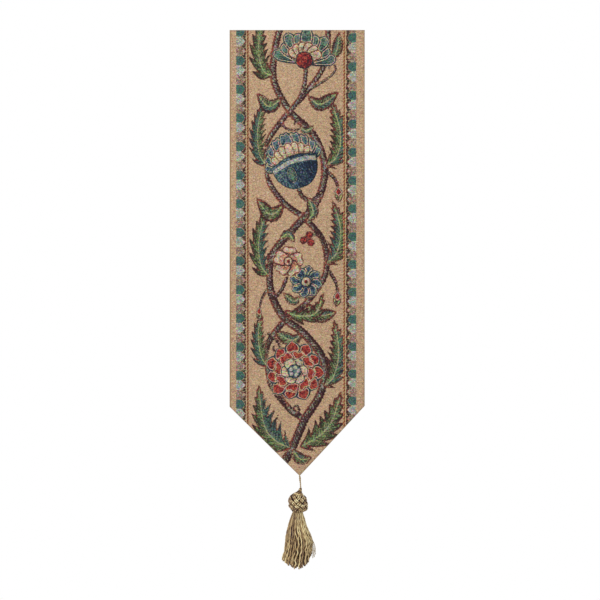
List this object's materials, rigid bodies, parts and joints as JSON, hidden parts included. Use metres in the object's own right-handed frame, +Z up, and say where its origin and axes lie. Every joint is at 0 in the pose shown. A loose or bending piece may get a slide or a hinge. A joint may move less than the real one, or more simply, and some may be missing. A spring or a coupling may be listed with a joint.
{
  "type": "tapestry bell pull",
  "caption": "Long narrow woven hanging with floral field and patterned side borders, pointed lower end, and a tassel on a short cord at the point.",
  "frame": {"origin": "middle of the cloth's top edge, in the middle of its front layer", "axes": "+Z up along the hanging's length, +X to the right as seen from the front, +Y towards the back"},
  "size_m": [0.1526, 0.0321, 0.608],
  "materials": {
    "tapestry_cloth": "ribbed jacquard weave, matt",
    "cord_yarn": "two-ply twisted cord, slight sheen",
    "knot_yarn": "plaited lustrous yarn",
    "skirt_yarn": "loose lustrous yarn"
  },
  "bodies": {
    "root": {"tapestry_panel": "tapestry_cloth", "tassel_cord": "cord_yarn", "tassel_knot": "knot_yarn", "tassel_skirt": "skirt_yarn"}
  },
  "joints": []
}
